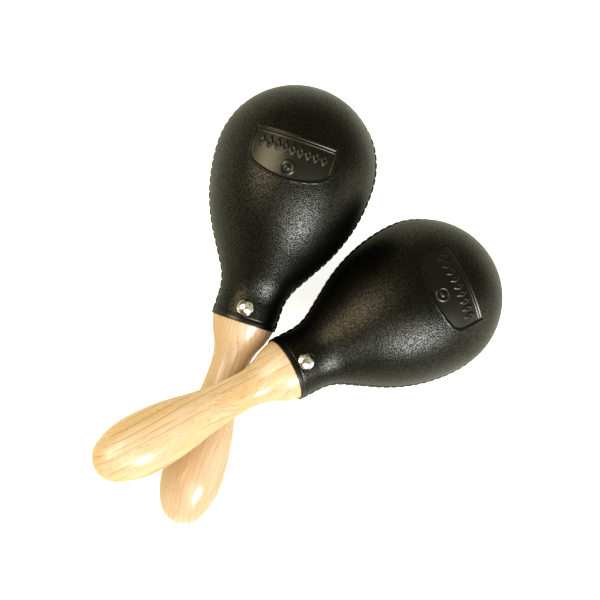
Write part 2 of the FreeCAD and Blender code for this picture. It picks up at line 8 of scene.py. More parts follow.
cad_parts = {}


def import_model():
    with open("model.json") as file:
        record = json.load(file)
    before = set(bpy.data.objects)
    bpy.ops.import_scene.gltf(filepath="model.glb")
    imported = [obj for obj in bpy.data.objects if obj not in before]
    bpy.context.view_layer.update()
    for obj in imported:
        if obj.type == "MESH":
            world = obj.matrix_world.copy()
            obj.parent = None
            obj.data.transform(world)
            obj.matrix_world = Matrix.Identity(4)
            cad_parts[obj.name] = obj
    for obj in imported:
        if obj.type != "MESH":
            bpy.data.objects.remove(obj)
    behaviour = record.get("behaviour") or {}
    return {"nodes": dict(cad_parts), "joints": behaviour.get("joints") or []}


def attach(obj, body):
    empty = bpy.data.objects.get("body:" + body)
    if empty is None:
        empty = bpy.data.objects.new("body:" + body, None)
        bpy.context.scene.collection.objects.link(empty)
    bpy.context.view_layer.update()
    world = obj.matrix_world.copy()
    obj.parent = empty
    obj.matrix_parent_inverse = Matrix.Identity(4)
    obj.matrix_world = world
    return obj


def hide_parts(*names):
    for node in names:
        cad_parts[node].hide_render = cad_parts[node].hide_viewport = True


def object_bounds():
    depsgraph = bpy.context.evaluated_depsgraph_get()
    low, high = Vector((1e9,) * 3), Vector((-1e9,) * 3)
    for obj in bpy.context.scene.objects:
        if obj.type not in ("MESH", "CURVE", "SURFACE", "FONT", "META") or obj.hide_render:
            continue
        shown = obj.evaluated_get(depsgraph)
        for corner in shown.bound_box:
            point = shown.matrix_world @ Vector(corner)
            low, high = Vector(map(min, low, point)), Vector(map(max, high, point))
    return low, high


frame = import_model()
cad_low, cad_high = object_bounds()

# A crossed pair of maracas on a white table. Every length is in metres. Each maraca is built in
# its own frame: X to its side, Y to its front, Z along its axis towards the crown, and zero at the
# edge of the shell's neck.

MM = 0.001
SIDES = ("left", "right")
QUARTER = math.pi / 2

# The turned outline of a shell, as in the CAD frame.
CROWN_RADIUS = 47.0 * MM
EQUATOR = 96.2 * MM
SIDE_RADIUS = 100.0 * MM
LEAN = math.radians(31)
NECK_RADIUS = 18.7 * MM
NECK_BLEND = 30.0 * MM
WALL = 2.2 * MM

# The sunk panel on the front of each shell, and the low rounded rim that runs round it.
PANEL_TOP = 108.5 * MM
PANEL_BOTTOM = 84.4 * MM
PANEL_HALF = 23.4 * MM
PANEL_CORNER = 8.0 * MM
PANEL_BOW = 47.0 * MM
PANEL_DEPTH = 0.7 * MM
PANEL_SLOPE = 0.35 * MM  # half the width of the slope down to the panel's floor
RIM_PLACE = 0.7 * MM
RIM_WIDTH = 0.5 * MM
RIM_RISE = 0.18 * MM

# The ornament on the panel's floor: two ridges along its top edge, each with its distances from
# that edge and its rise; a row of dimpled lozenges, sized from the middle; and a ring with a ball
# in it. An EDGE says where a slope starts and where it reaches its full height.
RIDGES = ((1.5 * MM, 2.3 * MM, 0.45 * MM), (0.0, 0.7 * MM, 0.7 * MM))
RIDGE_EDGE = (0.25 * MM, -0.1 * MM)
RIDGE_TAPER = 0.8 * MM
ROW_HEIGHT = 100.9 * MM
ROW_PITCH = 4.6 * MM
ROW_HALF_COUNT = 4
LOZENGE_TALL = 3.7 * MM
LOZENGE_WIDE = 2.0 * MM
LOZENGE_RISE = 0.65 * MM
LOZENGE_EDGE = (1.12, 0.72)
DIMPLE_DEPTH = 0.45 * MM
DIMPLE_EDGE = (0.5, 0.25)
RING_HEIGHT = 90.3 * MM
RING_RADIUS = 3.6 * MM
RING_RISE = 0.5 * MM
RING_EDGE = (0.75 * MM, 0.35 * MM)
BALL_EDGE = (1.7 * MM, 0.9 * MM)

# The outline of a handle.
BUTT = -123.1 * MM
NOSE_RADIUS = 14.0 * MM
BELLY_RADIUS = 17.8 * MM
BELLY = BUTT + 29.5 * MM
BELLY_FRONT = 150.0 * MM
WAIST_RADIUS = 10.65 * MM
WAIST = BUTT + 96.0 * MM
FLARE_RADIUS = 33.0 * MM
SHOULDER_BULGE = 48.0 * MM
SHOULDER_RADIUS = 18.4 * MM
TENON_RADIUS = NECK_RADIUS - WALL - 0.05 * MM
TENON_LENGTH = 17.0 * MM
TENON_CHAMFER = 1.5 * MM

# The tacks.
TACK_HEIGHT = 8.6 * MM
TACK_SEAT = NECK_RADIUS - 0.4 * MM
TACK_RADIUS = 4.8 * MM
TACK_DOME = 2.4 * MM
TACK_RIM = 0.3 * MM
TACK_BEVEL = 0.1 * MM
SEAT_RADIUS = TACK_RADIUS + 0.1 * MM
SEAT_SLOPE = 0.4 * MM
SEAT_GAP = 0.05 * MM
SHANK_RADIUS = 1.1 * MM
SHANK_LENGTH = 12.0 * MM
SHANK_POINT = 2.5 * MM

# The smooth lip at the neck's edge, and the groove and the start of the grain above it.
LIP_WIDTH = 2.6 * MM
LIP_RADIUS = 19.35 * MM
LIP_BEND = 0.45 * MM
LIP_ROOT = 1.0 * MM
LIP_BELOW = 0.05 * MM  # how far the lip reaches past the neck's edge
GROOVE_PLACE = LIP_WIDTH + 0.5 * MM
GROOVE_WIDTH = 0.45 * MM
GROOVE_DEPTH = 0.45 * MM
GRAIN_START = LIP_WIDTH + 0.3 * MM
GRAIN_FULL = LIP_WIDTH + 1.2 * MM
SMOOTH_MARGIN = 0.6 * MM  # how far outside the panel the grain is full

# The welt along the seam is a chain of lobes. A notch between two lobes keeps the given shares
# of the welt's width and height. Near the crown's tip the lobes sink. The higher a roundness
# of the lobes, the squarer they are; the lower the one of the welt's section, the squarer it is.
WELT_PITCH = 4.7 * MM
WELT_HEIGHT = 0.85 * MM
WELT_HALF_WIDTH = 2.4 * MM
WELT_ROOT = 0.9 * MM
NOTCH_WIDTH = 0.62
NOTCH_HEIGHT = 0.12
LOBE_ROUNDNESS = 2.6
SECTION_ROUNDNESS = 0.8
SINK_START = 118.0 * MM
SINK_END = 134.0 * MM
SINK_SHARE = 0.7

SHOT_RADIUS = 2.25 * MM

# The skins' mesh: the distance between its lines where it is fine, round the panel and
# elsewhere, the heights and turns between which it is fine, and the lines on the inside.
FINE_STEP = 0.4 * MM
PANEL_STEP = 0.33 * MM
COARSE_STEP = 0.9 * MM
COARSE_TURN = math.radians(1.5)
NECK_ZONE = (2.0 * MM, 14.4 * MM)
PANEL_TURN = math.radians(34)
TACK_TURN = math.radians(17)
INNER_ROWS, INNER_COLUMNS = 90, 60
HANDLE_COLUMNS, BAND_COLUMNS, TACK_COLUMNS, BALL_COLUMNS = 160, 180, 72, 24

# The camera, from the middle of the pair, and the turns that aim it.
CAMERA_PLACE = (-0.15363, -0.19438, 0.87033)
CAMERA_AZIMUTH = math.radians(-34.8)
CAMERA_ELEVATION = math.radians(73.07)
CAMERA_ROLL = math.radians(75.3)
CAMERA_LENS = 93.94

# Each softbox: its direction from the pair, its distance, its width and height, its power in
# watts and its colour.
SOFTBOXES = {
    "key": ((0.67, -0.40, 0.63), 1.45, (0.66, 0.56), 25.5, (0.95, 0.985, 1.20)),
    "fill": ((0.25, -0.56, 0.79), 1.45, (1.00, 0.80), 7.5, (0.95, 0.985, 1.10)),
    "side": ((0.93, 0.30, 0.22), 1.45, (1.20, 0.70), 3.6, (1.0, 1.0, 0.95)),
    "warm": ((-0.70, -0.37, 0.61), 1.40, (1.10, 0.90), 14.0, (1.0, 0.89, 0.80)),
}
MATT_SHARE = 0.35  # how much of that power lights matt surfaces

# How bright the white room looks in a sheen, to a matt surface and to the camera.
ROOM_SHEEN = (0.41, 0.41, 0.32, 1.0)
ROOM_MATT = (0.90, 0.90, 0.90, 1.0)
ROOM_SEEN = (0.97, 0.97, 0.97, 1.0)

# Half a side of the table, and how strongly the table glows to the camera.
TABLE_HALF = 6.0
TABLE_GLOW = 0.5


def smoothstep(low, high, x):
    """0 below low, 1 above high and smooth in between."""
    share = np.clip((x - low) / (high - low), 0, 1)
    return share * share * (3 - 2 * share)


def hump(distance, width):
    """A smooth hump, 1 high at a distance of 0."""
    return np.exp(-((distance / width) ** 2))


# ---- outlines ---------------------------------------------------------------------------

class ShellOutline:
    """The shell's outer skin as a curve from the neck's edge to the tip, by length along it."""

    def __init__(self):
        across, up = math.cos(LEAN), math.sin(LEAN)
        self.side_x = CROWN_RADIUS - SIDE_RADIUS
        high_x = self.side_x + SIDE_RADIUS * across
        high_z = EQUATOR - SIDE_RADIUS * up
        self.low_x = NECK_RADIUS + NECK_BLEND * (1 - across)
        self.low_z = high_z - (high_x - self.low_x) / math.tan(LEAN)
        self.blend_z = self.low_z - NECK_BLEND * up
        cone = (high_x - self.low_x) / up
        lengths = (self.blend_z, NECK_BLEND * LEAN, cone, SIDE_RADIUS * LEAN, CROWN_RADIUS * math.pi / 2)
        self.ends = np.cumsum(lengths)
        self.length = float(self.ends[-1])

    def at(self, s):
        """Radius, height and the two parts of the outward normal at lengths s."""
        s = np.asarray(s, float)
        e = self.ends
        tilt = np.select(
            [s < e[0], s < e[1], s < e[2], s < e[3]],
            [0 * s, -(s - e[0]) / NECK_BLEND, 0 * s - LEAN, -LEAN + (s - e[2]) / SIDE_RADIUS],
            (s - e[3]) / CROWN_RADIUS,
        )
        across, up = np.cos(tilt), np.sin(tilt)
        run = s - e[1]
        zones = [s < e[0], s < e[1], s < e[2], s < e[3]]
        radius = np.select(
            zones,
            [
                NECK_RADIUS + 0 * s,
                NECK_RADIUS + NECK_BLEND * (1 - across),
                self.low_x + run * math.sin(LEAN),
                self.side_x + SIDE_RADIUS * across,
            ],
            CROWN_RADIUS * across,
        )
        height = np.select(
            zones,
            [
                s,
                self.blend_z - NECK_BLEND * up,
                self.low_z + run * math.cos(LEAN),
                EQUATOR + SIDE_RADIUS * up,
            ],
            EQUATOR + CROWN_RADIUS * up,
        )
        return radius, height, across, up

    def length_at(self, height):
        """The length along the curve at which it reaches a height."""
        s = np.linspace(0, self.length, 4000)
        return float(np.interp(height, self.at(s)[1], s))


SHELL = ShellOutline()


def arc_points(centre, radius, start, end, count):
    """Points on an arc between two angles, in radians."""
    turn = np.linspace(start, end, count)
    return np.column_stack([centre[0] + radius * np.cos(turn), centre[1] + radius * np.sin(turn)])


def handle_outline():
    """Radius and height of the handle, from its butt to the end of its tenon, and the numbers of
    the points at its sharp edges."""
    nose = (0.0, BUTT + NOSE_RADIUS)
    rise = BELLY - nose[1]
    rear = (rise**2 + BELLY_RADIUS**2 - NOSE_RADIUS**2) / (2 * (BELLY_RADIUS - NOSE_RADIUS))
    rear_x = BELLY_RADIUS - rear
    low = math.atan2(nose[1] - BELLY, -rear_x)
    drop = BELLY_RADIUS - WAIST_RADIUS
    both = ((WAIST - BELLY) ** 2 + drop**2) / (2 * drop)
    swell_x = BELLY_RADIUS - BELLY_FRONT
    hollow = both - BELLY_FRONT
    lean = math.asin((WAIST - BELLY) / both)
    flare = (WAIST_RADIUS + FLARE_RADIUS, WAIST)
    bulge = circles_meet(flare, FLARE_RADIUS + SHOULDER_BULGE, (SHOULDER_RADIUS, 0), SHOULDER_BULGE)
    out = math.atan2(bulge[1] - flare[1], bulge[0] - flare[0])
    ends = math.atan2(-bulge[1], SHOULDER_RADIUS - bulge[0])
    parts = [
        arc_points(nose, NOSE_RADIUS, -QUARTER, low, 28),
        arc_points((rear_x, BELLY), rear, low, 0, 22),
        arc_points((swell_x, BELLY), BELLY_FRONT, 0, lean, 28),
        arc_points((WAIST_RADIUS + hollow, WAIST), hollow, math.pi + lean, math.pi, 28),
        arc_points(flare, FLARE_RADIUS, math.pi, out, 16),
        arc_points(bulge, SHOULDER_BULGE, out - math.pi, ends, 22),
    ]
    grip = np.vstack([parts[0][:1]] + [p[1:] for p in parts])
    tenon = [
        (TENON_RADIUS, 0.0),
        (TENON_RADIUS, TENON_LENGTH - TENON_CHAMFER),
        (TENON_RADIUS - TENON_CHAMFER, TENON_LENGTH),
        (0.0, TENON_LENGTH),
    ]
    shoulder = len(grip) - 1
    return np.vstack([grip, tenon]), (shoulder, shoulder + 1, shoulder + 3)


def circles_meet(first, first_radius, second, second_radius):
    """The crossing of two circles that lies nearer the axis."""
    a, b = np.array(first, float), np.array(second, float)
    gap = float(np.linalg.norm(b - a))
    reach = (gap**2 + first_radius**2 - second_radius**2) / (2 * gap)
    height = math.sqrt(first_radius**2 - reach**2)
    way = (b - a) / gap
    across = np.array([-way[1], way[0]])
    both = [a + way * reach + sign * height * across for sign in (1, -1)]
    return min(both, key=lambda p: p[0])


# ---- where each maraca lies ---------------------------------------------------------------

def vertex_mean(node):
    """The middle of a node's vertices. On a turned piece it lies on the piece's axis."""
    return sum((v.co for v in node.data.vertices), Vector()) / len(node.data.vertices)


def maraca_frame(name):
    """The matrix from a maraca's own frame to the row frame."""
    joint = next(j for j in frame["joints"] if j["name"] == f"{name}_shot_roll")
    axis = Vector(joint["axis"])
    nodes = frame["nodes"]
    across = vertex_mean(nodes[f"{name}_front_tack"]) - vertex_mean(nodes[f"{name}_rear_tack"])
    front = (across - axis * across.dot(axis)).normalized()
    side = front.cross(axis)
    matrix = Matrix((side, front, axis)).transposed().to_4x4()
    matrix.translation = Vector(joint["pos_m"])
    return matrix


# ---- mesh building ------------------------------------------------------------------------

class Mesh:
    """Vertices and faces of one piece in a maraca's own frame. Each patch of faces is smooth in
    itself, and the edges between patches are sharp. Grain is how grained the skin is there."""

    def __init__(self):
        self.points = []
        self.count = 0
        self.faces = []
        self.patches = []
        self.grain = []

    def add_points(self, points, grain=0.0):
        points = np.asarray(points, float).reshape(-1, 3)
        first = self.count
        self.points.append(points)
        self.grain.append(np.broadcast_to(np.asarray(grain, float).ravel(), (len(points),)))
        self.count += len(points)
        return np.arange(first, self.count)

    def add_faces(self, faces, patch):
        self.faces += faces
        self.patches += [patch] * len(faces)

    def grid(self, ids, patch, wrap=False, flip=False):
        """Quads between neighbouring rows and columns of vertex numbers."""
        ids = np.asarray(ids)
        if wrap:
            ids = np.concatenate([ids, ids[:, :1]], axis=1)
        a, b = ids[:-1, :-1].ravel(), ids[:-1, 1:].ravel()
        c, d = ids[1:, 1:].ravel(), ids[1:, :-1].ravel()
        quads = np.column_stack([a, d, c, b] if flip else [a, b, c, d])
        self.add_faces([tidy(q) for q in quads.tolist() if len(set(q)) > 2], patch)

    def zip(self, one, two, patch, flip=False):
        """Triangles between two lines of vertices with different numbers of points."""
        one, two = list(one), list(two)
        i = j = 0
        faces = []
        while i < len(one) - 1 or j < len(two) - 1:
            if j == len(two) - 1 or (i < len(one) - 1 and (i + 1) * len(two) <= (j + 1) * len(one)):
                face = [one[i], one[i + 1], two[j]]
                i += 1
            else:
                face = [one[i], two[j + 1], two[j]]
                j += 1
            if len(set(face)) == 3:
                faces.append(face[::-1] if flip else face)
        self.add_faces(faces, patch)

    def piece(self, name, matrix, material):
        """The finished object, with its place in the maraca's frame kept as an attribute."""
        local = np.vstack(self.points)
        rotation = np.array(matrix.to_3x3())
        world = local @ rotation.T + np.array(matrix.translation)
        mesh = bpy.data.meshes.new(name)
        mesh.from_pydata(world.tolist(), [], self.faces)
        mesh.polygons.foreach_set("use_smooth", [True] * len(self.faces))
        place = mesh.attributes.new("place", "FLOAT_VECTOR", "POINT")
        place.data.foreach_set("vector", local.ravel().astype(np.float32))
        grain = mesh.attributes.new("grain", "FLOAT", "POINT")
        grain.data.foreach_set("value", np.concatenate(self.grain).astype(np.float32))
        sharpen(mesh, np.array(self.patches))
        mesh.validate()
        mesh.update()
        mesh.materials.append(material)
        piece = bpy.data.objects.new(name, mesh)
        bpy.context.scene.collection.objects.link(piece)
        return piece


def tidy(face):
    """A face without a corner that is listed twice in a row."""
    return [v for v, before in zip(face, face[-1:] + face[:-1]) if v != before]


def sharpen(mesh, patches):
    """Marks every edge between two patches as sharp."""
    edge_of = np.empty(len(mesh.loops), np.int64)
    mesh.loops.foreach_get("edge_index", edge_of)
    sizes = np.empty(len(mesh.polygons), np.int64)
    mesh.polygons.foreach_get("loop_total", sizes)
    patch_of = np.repeat(patches, sizes)
    low = np.full(len(mesh.edges), 10**6)
    high = np.full(len(mesh.edges), -1)
    np.minimum.at(low, edge_of, patch_of)
    np.maximum.at(high, edge_of, patch_of)
    sharp = mesh.attributes.new("sharp_edge", "BOOLEAN", "EDGE")
    sharp.data.foreach_set("value", low != high)


def add_turned(mesh, outline, columns, corners=(), centre=(0, 0, 0)):
    """Adds a closed turned surface to a mesh. The outline starts and ends on the axis, and corners
    are the numbers of its points at which a new, sharp-edged patch starts."""
    turn = np.linspace(0, 2 * math.pi, columns, endpoint=False)
    rows = []
    for radius, height in outline:
        if radius < 1e-9:
            tip = mesh.add_points(np.add([(0, 0, height)], centre))
            rows.append(np.repeat(tip, columns))
        else:
            level = np.full(columns, height)
            ring = np.column_stack([radius * np.sin(turn), radius * np.cos(turn), level])
            rows.append(mesh.add_points(ring + centre))
    bounds = [0, *corners, len(rows) - 1]
    for patch, (low, high) in enumerate(zip(bounds[:-1], bounds[1:])):
        mesh.grid(np.array(rows[low : high + 1]), patch, wrap=True, flip=True)


def turned(outline, columns, name, matrix, material, corners=()):
    """A closed turned piece."""
    mesh = Mesh()
    add_turned(mesh, outline, columns, corners)
    return mesh.piece(name, matrix, material)


def stepped(start, end, zones, coarse):
    """Values from start to end, close together inside the zones and coarse outside them."""
    stops = sorted({start, end, *[v for low, high, _ in zones for v in (low, high)]})
    values = [start]
    for low, high in zip(stops[:-1], stops[1:]):
        middle = (low + high) / 2
        step = min([fine for a, b, fine in zones if a <= middle <= b] + [coarse])
        count = max(1, round((high - low) / step))
        values += list(np.linspace(low, high, count + 1)[1:])
    return np.array(values)


# ---- the shells ---------------------------------------------------------------------------

def panel_distance(x, z):
    """How far a point of the front lies outside the panel's edge, and below zero inside it."""
    x = np.abs(x)
    bow_z = PANEL_BOTTOM + PANEL_BOW
    inner_x = PANEL_HALF - PANEL_CORNER
    corner_z = bow_z - math.sqrt((PANEL_BOW - PANEL_CORNER) ** 2 - inner_x**2)
    straight = np.maximum(x - PANEL_HALF, z - PANEL_TOP)
    round_end = np.hypot(x - inner_x, z - corner_z) - PANEL_CORNER
    bowed = np.hypot(x, z - bow_z) - PANEL_BOW
    # the corner's sector lies between the horizontal and the line from the bow's centre
    inside_bow = x * (corner_z - bow_z) - inner_x * (z - bow_z) > 0
    lower = np.where(inside_bow, bowed, round_end)
    return np.where(z > corner_z, straight, lower)


def panel_relief(x, z):
    """Height of the panel's raised lines and ornament over its floor."""
    relief = np.zeros_like(x)
    for low, high, rise in RIDGES:
        middle = PANEL_TOP - (low + high) / 2
        half = (high - low) / 2
        across = smoothstep(*RIDGE_EDGE, np.abs(z - middle) - half)
        ends = smoothstep(PANEL_HALF, PANEL_HALF - RIDGE_TAPER, np.abs(x))
        relief = np.maximum(relief, rise * across * ends)
    for number in range(-ROW_HALF_COUNT, ROW_HALF_COUNT + 1):
        across = np.abs(x - number * ROW_PITCH) / LOZENGE_WIDE
        lozenge = across + np.abs(z - ROW_HEIGHT) / LOZENGE_TALL
        relief = np.maximum(relief, LOZENGE_RISE * smoothstep(*LOZENGE_EDGE, lozenge))
        relief = relief - DIMPLE_DEPTH * smoothstep(*DIMPLE_EDGE, lozenge)
    centre = np.hypot(x, z - RING_HEIGHT)
    ring = smoothstep(*RING_EDGE, np.abs(centre - RING_RADIUS))
    ball = smoothstep(*BALL_EDGE, centre)
    return np.maximum(relief, RING_RISE * np.maximum(ring, ball))


def skin_points(s, turn, front):
    """The skin's displaced points over a grid of lengths and turns, and how grained each is."""
    radius, height, across, up = (v[:, None] for v in SHELL.at(s))
    sine, cosine = np.sin(turn)[None, :], np.cos(turn)[None, :]
    x, z = radius * sine, height + 0 * sine
    lift = np.zeros_like(x)
    grain = np.ones_like(x)
    if front:
        outside = panel_distance(x, z)
        inside = smoothstep(PANEL_SLOPE, -PANEL_SLOPE, outside)
        lift += inside * (panel_relief(x, z) - PANEL_DEPTH)
        grain *= smoothstep(0.0, SMOOTH_MARGIN, outside)
        lift += RIM_RISE * hump(outside - RIM_PLACE, RIM_WIDTH) * (cosine > 0)
    lift -= GROOVE_DEPTH * hump(z - GROOVE_PLACE, GROOVE_WIDTH)
    grain *= smoothstep(GRAIN_START, GRAIN_FULL, z)
    # the flat that a tack's head sits on
    y = radius * np.abs(cosine)
    seat = smoothstep(SEAT_RADIUS + SEAT_SLOPE, SEAT_RADIUS, np.hypot(x, z - TACK_HEIGHT))
    lift -= seat * np.maximum(y - TACK_SEAT + SEAT_GAP, 0)
    radius = radius + lift * across
    points = np.stack([radius * sine, radius * cosine, z + lift * up], axis=-1)
    return points, grain


def half_skin(name, front, matrix, material):
    """One half shell: its displaced skin, its inside, and the seam and neck faces between."""
    mesh = Mesh()
    zones = [(*NECK_ZONE, FINE_STEP)]
    if front:
        low, high = SHELL.length_at(PANEL_BOTTOM) - MM, SHELL.length_at(PANEL_TOP) + MM
        zones.append((low, high, PANEL_STEP))
    rows = stepped(0.0, SHELL.length, zones, COARSE_STEP)
    fine = PANEL_TURN if front else TACK_TURN
    turns = stepped(-QUARTER, QUARTER, [(-fine, fine, FINE_STEP / CROWN_RADIUS)], COARSE_TURN)
    if not front:
        turns = turns + math.pi
    points, grain = skin_points(rows, turns, front)
    outer = mesh.add_points(points[:-1], grain[:-1]).reshape(len(rows) - 1, len(turns))
    tip = mesh.add_points(points[-1, :1], 1.0)
    outer = np.vstack([outer, np.repeat(tip, len(turns))[None, :]])
    mesh.grid(outer, 0, flip=True)

    inner_rows = np.linspace(0, SHELL.length, INNER_ROWS)
    inner_turns = np.linspace(turns[0], turns[-1], INNER_COLUMNS)
    radius, height, across, up = SHELL.at(inner_rows)
    radius, height = radius - WALL * across, height - WALL * up
    ring = np.stack(
        [
            radius[:, None] * np.sin(inner_turns),
            radius[:, None] * np.cos(inner_turns),
            height[:, None] + 0 * inner_turns,
        ],
        axis=-1,
    )
    inner = mesh.add_points(ring[:-1]).reshape(len(inner_rows) - 1, len(inner_turns))
    tip = mesh.add_points(ring[-1, :1])
    inner = np.vstack([inner, np.repeat(tip, len(inner_turns))[None, :]])
    mesh.grid(inner, 1)
    mesh.zip(outer[:, 0], inner[:, 0], 2, flip=True)
    mesh.zip(outer[:, -1], inner[:, -1], 3)
    mesh.zip(outer[0], inner[0], 4)
    return mesh.piece(name, matrix, material)


def welt(name, matrix, material):
    """The scalloped welt, up one side of the shell, over its tip and down the other side."""
    mesh = Mesh()
    lobes = round((SHELL.length - LIP_WIDTH) / WELT_PITCH)
    per_lobe, across_count = 14, 9
    s = np.linspace(LIP_WIDTH / 2, SHELL.length, lobes * per_lobe + 1)
    share = np.arange(len(s)) / per_lobe % 1
    bulge = np.sqrt(np.clip(1 - np.abs(2 * share - 1) ** LOBE_ROUNDNESS, 0, 1))
    bulge = np.concatenate([bulge, bulge[-2::-1]])
    side = np.concatenate([np.ones(len(s)), -np.ones(len(s) - 1)])
    s = np.concatenate([s, s[-2::-1]])
    radius, height, over, up = SHELL.at(s)
    sunk = smoothstep(SINK_START, SINK_END, height)
    swing = np.linspace(-1, 1, across_count)
    rows = []
    for i in range(len(s)):
        half = WELT_HALF_WIDTH * (NOTCH_WIDTH + (1 - NOTCH_WIDTH) * bulge[i])
        top = WELT_HEIGHT * (NOTCH_HEIGHT + (1 - NOTCH_HEIGHT) * bulge[i]) * (1 - SINK_SHARE * sunk[i])
        rise = np.concatenate([top * (1 - swing**2) ** SECTION_ROUNDNESS, [-WELT_ROOT]])
        y = np.concatenate([swing * half, [0.0]])
        # the strip follows the skin, which is round both ways on the crown
        if height[i] > EQUATOR:
            shrink = np.sqrt(1 - (y / CROWN_RADIUS) ** 2)
            base, level = radius[i] * shrink, EQUATOR + (height[i] - EQUATOR) * shrink
        else:
            base, level = np.sqrt(radius[i] ** 2 - y**2), height[i]
        out = (base + rise * over[i]) * side[i]
        rows.append(np.column_stack([out, y, level + rise * up[i]]))
    ids = mesh.add_points(np.vstack(rows)).reshape(len(rows), across_count + 1)
    mesh.grid(ids, 0, wrap=True)
    mesh.add_faces([ids[0].tolist()[::-1], ids[-1].tolist()], 1)
    return mesh.piece(name, matrix, material)


def neck_band(name, matrix, material):
    """The smooth band round the neck's edge, as one closed ring."""
    inner = NECK_RADIUS - LIP_ROOT
    middle = LIP_RADIUS - LIP_BEND
    outline = np.vstack(
        [
            [(inner, -LIP_BELOW)],
            arc_points((middle, LIP_BEND - LIP_BELOW), LIP_BEND, -QUARTER, 0, 7),
            arc_points((middle, LIP_WIDTH - LIP_BEND), LIP_BEND, 0, QUARTER, 7),
            [(inner, LIP_WIDTH)],
        ]
    )
    mesh = Mesh()
    turn = np.linspace(0, 2 * math.pi, BAND_COLUMNS, endpoint=False)
    rings = [
        mesh.add_points(np.column_stack([r * np.sin(turn), r * np.cos(turn), np.full(len(turn), z)]))
        for r, z in outline
    ]
    mesh.grid(np.array(rings), 0, wrap=True, flip=True)
    mesh.grid(np.array([rings[-1], rings[0]]), 1, wrap=True, flip=True)
    return mesh.piece(name, matrix, material)


def tack(name, matrix, forwards, material):
    """A tack: a domed head with a thin rim, and a pointed shank."""
    rise = TACK_DOME - TACK_RIM
    dome = (TACK_RADIUS**2 + rise**2) / (2 * rise)
    edge = math.asin((dome - rise) / dome)
    outline = np.vstack(
        [
            [(0, -SHANK_LENGTH), (SHANK_RADIUS, SHANK_POINT - SHANK_LENGTH), (SHANK_RADIUS, 0)],
            [(TACK_RADIUS - TACK_BEVEL, 0), (TACK_RADIUS, TACK_BEVEL), (TACK_RADIUS, TACK_RIM)],
            arc_points((0, TACK_DOME - dome), dome, edge, QUARTER, 20)[1:-1],
            [(0, TACK_DOME)],
        ]
    )
    stand = Matrix.Translation((0, TACK_SEAT * forwards, TACK_HEIGHT))
    square = Matrix.Rotation(-QUARTER * forwards, 4, "X")
    # the head's underside and its rim end in sharp edges
    return turned(outline, TACK_COLUMNS, name, matrix @ stand @ square, material, corners=(3, 5))


def ball_centres(node):
    """The middles of a node's balls. A vertex lies one radius from its ball's middle, along its
    own normal."""
    spots = np.array([v.co - v.normal * SHOT_RADIUS for v in node.data.vertices])
    centres = []
    while len(spots):
        near = np.linalg.norm(spots - spots[0], axis=1) < SHOT_RADIUS
        centres.append(np.median(spots[near], axis=0))
        spots = spots[~near]
    return centres


def shot(name, node, material):
    """The loose balls of a CAD node, as round balls in the same places. They are built straight
    in the row frame."""
    ball = arc_points((0, 0), SHOT_RADIUS, -QUARTER, QUARTER, 13)
    ball[[0, -1], 0] = 0
    mesh = Mesh()
    for centre in ball_centres(node):
        add_turned(mesh, ball, BALL_COLUMNS, centre=centre)
    return mesh.piece(name, Matrix.Identity(4), material)


# ---- materials ----------------------------------------------------------------------------

class Shader:
    """A material's node tree with short ways to add and join nodes."""

    def __init__(self, name):
        self.material = bpy.data.materials.new(name)
        self.material.use_nodes = True
        self.tree = self.material.node_tree
        self.surface = self.tree.nodes["Principled BSDF"]

    def node(self, kind, inputs=None, **settings):
        node = self.tree.nodes.new(kind)
        for key, value in settings.items():
            setattr(node, key, value)
        for key, value in (inputs or {}).items():
            self.feed(node.inputs[key], value)
        return node

    def feed(self, socket, value):
        if isinstance(value, bpy.types.NodeSocket):
            self.tree.links.new(value, socket)
        else:
            socket.default_value = value

    def place(self, stretch=(1, 1, 1)):
        """The point in the maraca's own frame, scaled along each axis."""
        at = self.node("ShaderNodeAttribute", attribute_name="place").outputs["Vector"]
        scaled = self.node("ShaderNodeVectorMath", {0: at, 1: stretch}, operation="MULTIPLY")
        return scaled.outputs["Vector"]

    def noise(self, vector, scale, detail=2.0, rough=0.5):
        inputs = {"Vector": vector, "Scale": scale, "Detail": detail, "Roughness": rough}
        return self.node("ShaderNodeTexNoise", inputs).outputs["Fac"]

    def maths(self, operation, a, b=0.0):
        return self.node("ShaderNodeMath", {0: a, 1: b}, operation=operation).outputs[0]

    def span(self, value, low, high, to_low=0.0, to_high=1.0):
        """A value from low to high, mapped smoothly to another range."""
        inputs = {"Value": value, "From Min": low, "From Max": high, "To Min": to_low, "To Max": to_high}
        node = self.node("ShaderNodeMapRange", inputs, interpolation_type="SMOOTHSTEP")
        return node.outputs["Result"]

    def mix(self, share, a, b):
        node = self.node("ShaderNodeMix", data_type="RGBA")
        for index, value in ((0, share), (6, a), (7, b)):
            self.feed(node.inputs[index], value)
        return node.outputs[2]

    def bump(self, height, distance, strength=1.0, normal=None):
        inputs = {"Height": height, "Distance": distance, "Strength": strength}
        if normal is not None:
            inputs["Normal"] = normal
        return self.node("ShaderNodeBump", inputs).outputs["Normal"]

    def finish(self, **sockets):
        for key, value in sockets.items():
            self.feed(self.surface.inputs[key.replace("_", " ")], value)
        return self.material


def rgb(red, green, blue):
    return (red, green, blue, 1.0)


